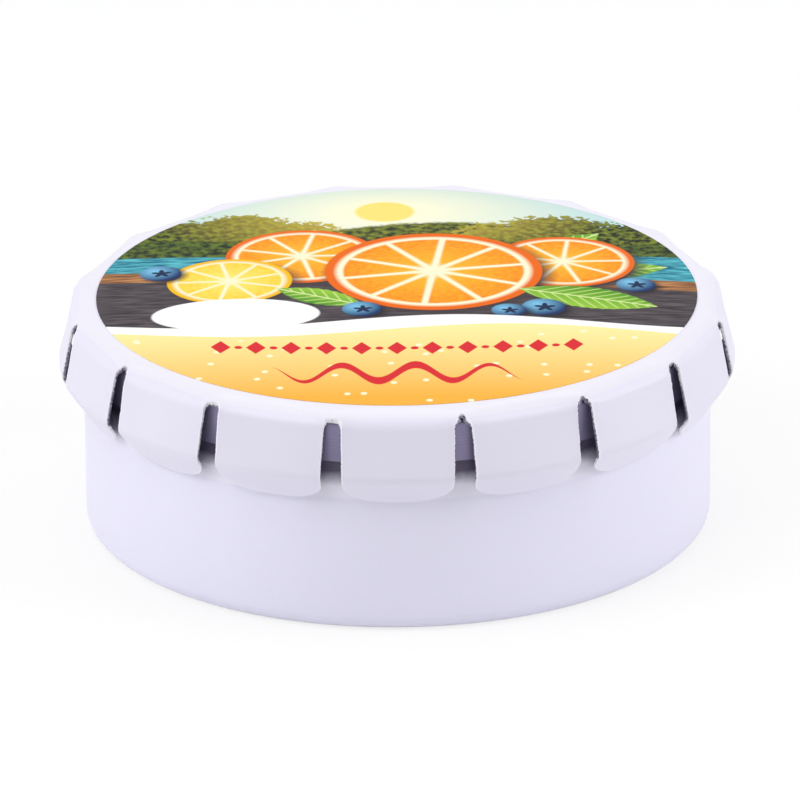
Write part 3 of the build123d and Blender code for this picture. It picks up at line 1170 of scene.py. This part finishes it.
film_section, film_facing = dome_section(top_level + film, film_radius)
film_edge = np.stack((film_section[-1], film_section[-1] - (0.0, film)))
facing_outward = np.array(((1.0, 0.0), (1.0, 0.0)))
disc = skin_mesh(
    "printed_disc_film",
    [
        (*turned(film_section, film_facing, dome_columns), True, 0),
        (*turned(film_edge, facing_outward, dome_columns), True, 0),
    ],
    [printed_film],
)
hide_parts("printed_disc")
ride_with_panel(disc, top_level + film)

# Floor, light and camera
# A plain white sweep and large soft lamps above and at both sides, as for a catalogue picture.
# The camera looks from the photo's angle, far off and with a long lens.

floor_size = 3.0
floor_corners = [(x * floor_size, y * floor_size, 0) for x, y in ((-1, -1), (1, -1), (1, 1), (-1, 1))]
floor_mesh = bpy.data.meshes.new("white_floor")
floor_mesh.from_pydata(floor_corners, [], [(0, 1, 2, 3)])
floor = bpy.data.objects.new("white_floor", floor_mesh)
bpy.context.scene.collection.objects.link(floor)


def seen_directly(tree):
    """One where a camera, mirror or glass ray looks, and zero where light is gathered."""
    rays = add_node(tree, "ShaderNodeLightPath").outputs
    seen = step("MAXIMUM", Value(rays["Is Camera Ray"]), Value(rays["Is Glossy Ray"]))
    return step("MAXIMUM", seen, Value(rays["Is Transmission Ray"]))


paper = bpy.data.materials.new("white_paper")
paper.use_nodes = True
tree = paper.node_tree
tree.nodes.clear()
matt = made(tree, "ShaderNodeBsdfDiffuse", {"Color": (0.94, 0.94, 0.94, 1.0)})
white = made(tree, "ShaderNodeEmission", {"Color": (1.0, 1.0, 1.0, 1.0), "Strength": 1.0})
both = made(tree, "ShaderNodeMixShader", {0: seen_directly(tree) * 0.78, 1: matt, 2: white})
add_node(tree, "ShaderNodeOutputMaterial", {"Surface": both})
floor_mesh.materials.append(paper)

world = bpy.data.worlds.new("studio")
bpy.context.scene.world = world
world.use_nodes = True
tree = world.node_tree
tree.nodes.clear()
room = made(tree, "ShaderNodeBackground", {"Color": (0.93, 0.94, 1.0, 1.0), "Strength": 0.195})
white = made(tree, "ShaderNodeBackground", {"Color": (1.0, 1.0, 1.0, 1.0), "Strength": 1.0})
both = made(tree, "ShaderNodeMixShader", {0: seen_directly(tree), 1: room, 2: white})
add_node(tree, "ShaderNodeOutputWorld", {"Surface": both})


def soft_lamp(name, place, aim, size, power):
    """A square soft lamp turned to a point."""
    lamp = bpy.data.lights.new(name, "AREA")
    lamp.shape = "RECTANGLE"
    lamp.size, lamp.size_y = size, size
    lamp.energy = power
    holder = bpy.data.objects.new(name, lamp)
    bpy.context.scene.collection.objects.link(holder)
    way = Vector(aim) - Vector(place)
    holder.location = place
    holder.rotation_euler = way.to_track_quat("-Z", "Y").to_euler()


soft_lamp("lamp_above", (0.0, 0.15, 0.9), (0.0, 0.0, 0.0), 0.9, 4.26)
soft_lamp("lamp_key", (-0.4, -0.45, 0.85), (0.0, 0.0, 0.01), 0.6, 2.75)
soft_lamp("lamp_left", (-0.8, -0.12, 0.4), (0.0, 0.0, 0.01), 0.6, 2.9)
soft_lamp("lamp_right", (0.8, -0.12, 0.4), (0.0, 0.0, 0.01), 0.6, 3.85)

camera_elevation = math.radians(21.5702)
camera_roll = math.radians(-0.46676)
looked_at = (0.0, 0.0, 0.010)
camera_stand = (0.000206, 0.000406, 1.0)
camera_data = bpy.data.cameras.new("camera")
camera_data.sensor_width = 36.0
camera_data.lens = 521.26
camera_data.clip_start = 0.05
camera_data.clip_end = 20.0
camera = bpy.data.objects.new("camera", camera_data)
bpy.context.scene.collection.objects.link(camera)
# From the last line up: moved back and a little aside, rolled, tilted, and set about the tin's middle
camera.matrix_world = (
    Matrix.Translation(looked_at)
    @ Matrix.Rotation(math.radians(90.0) - camera_elevation, 4, "X")
    @ Matrix.Rotation(camera_roll, 4, "Z")
    @ Matrix.Translation(camera_stand)
)
bpy.context.scene.camera = camera
bpy.context.scene.view_settings.view_transform = "Standard"
